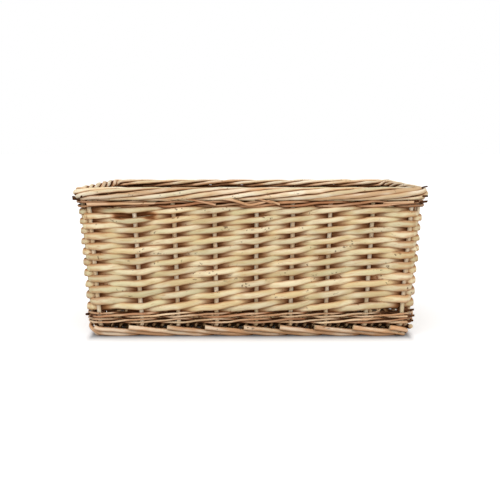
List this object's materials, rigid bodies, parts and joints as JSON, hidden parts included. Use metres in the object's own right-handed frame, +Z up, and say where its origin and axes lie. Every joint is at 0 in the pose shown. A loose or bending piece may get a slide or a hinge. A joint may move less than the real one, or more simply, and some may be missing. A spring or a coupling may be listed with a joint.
{
  "type": "wicker basket",
  "caption": "Open rectangular willow basket with flared walls, French-randed siding, waling bands, a rope-laid rim border and a foot border.",
  "frame": {"origin": "middle of the footprint, on the ground", "axes": "+Z up, +X along the long side to the right seen from the front, and the front faces -Y"},
  "size_m": [0.4656, 0.3096, 0.2],
  "materials": {
    "siding_willow": "pale straw buff willow with a faint green cast, satin bark",
    "stake_willow": "pale cream willow with brown streaks, satin",
    "wale_willow": "thin reddish-brown willow, matt bark",
    "base_willow": "buff willow, matt"
  },
  "bodies": {
    "root": {"base_stick_1": "base_willow", "base_stick_2": "base_willow", "base_stick_3": "base_willow", "base_stick_4": "base_willow", "base_weave": "base_willow", "lower_wale_1": "wale_willow", "lower_wale_2": "wale_willow", "siding_weaver_01": "siding_willow", "siding_weaver_02": "siding_willow", "siding_weaver_03": "siding_willow", "siding_weaver_04": "siding_willow", "siding_weaver_05": "siding_willow", "siding_weaver_06": "siding_willow", "siding_weaver_07": "siding_willow", "siding_weaver_08": "siding_willow", "siding_weaver_09": "siding_willow", "siding_weaver_10": "siding_willow", "siding_weaver_11": "siding_willow", "siding_weaver_12": "siding_willow", "siding_weaver_13": "siding_willow", "siding_weaver_14": "siding_willow", "siding_weaver_15": "siding_willow", "siding_weaver_16": "siding_willow", "siding_weaver_17": "siding_willow", "siding_weaver_18": "siding_willow", "siding_weaver_19": "siding_willow", "siding_weaver_20": "siding_willow", "siding_weaver_21": "siding_willow", "siding_weaver_22": "siding_willow", "stake_back_0": "stake_willow", "stake_back_1": "stake_willow", "stake_back_2": "stake_willow", "stake_back_3": "stake_willow", "stake_back_4": "stake_willow", "stake_back_5": "stake_willow", "stake_back_6": "stake_willow", "stake_back_7": "stake_willow", "stake_back_8": "stake_willow", "stake_front_0": "stake_willow", "stake_front_1": "stake_willow", "stake_front_2": "stake_willow", "stake_front_3": "stake_willow", "stake_front_4": "stake_willow", "stake_front_5": "stake_willow", "stake_front_6": "stake_willow", "stake_front_7": "stake_willow", "stake_front_8": "stake_willow", "stake_left_0": "stake_willow", "stake_left_1": "stake_willow", "stake_left_2": "stake_willow", "stake_left_3": "stake_willow", "stake_left_4": "stake_willow", "stake_left_5": "stake_willow", "stake_right_0": "stake_willow", "stake_right_1": "stake_willow", "stake_right_2": "stake_willow", "stake_right_3": "stake_willow", "stake_right_4": "stake_willow", "stake_right_5": "stake_willow", "upper_wale": "wale_willow"}
  },
  "joints": []
}
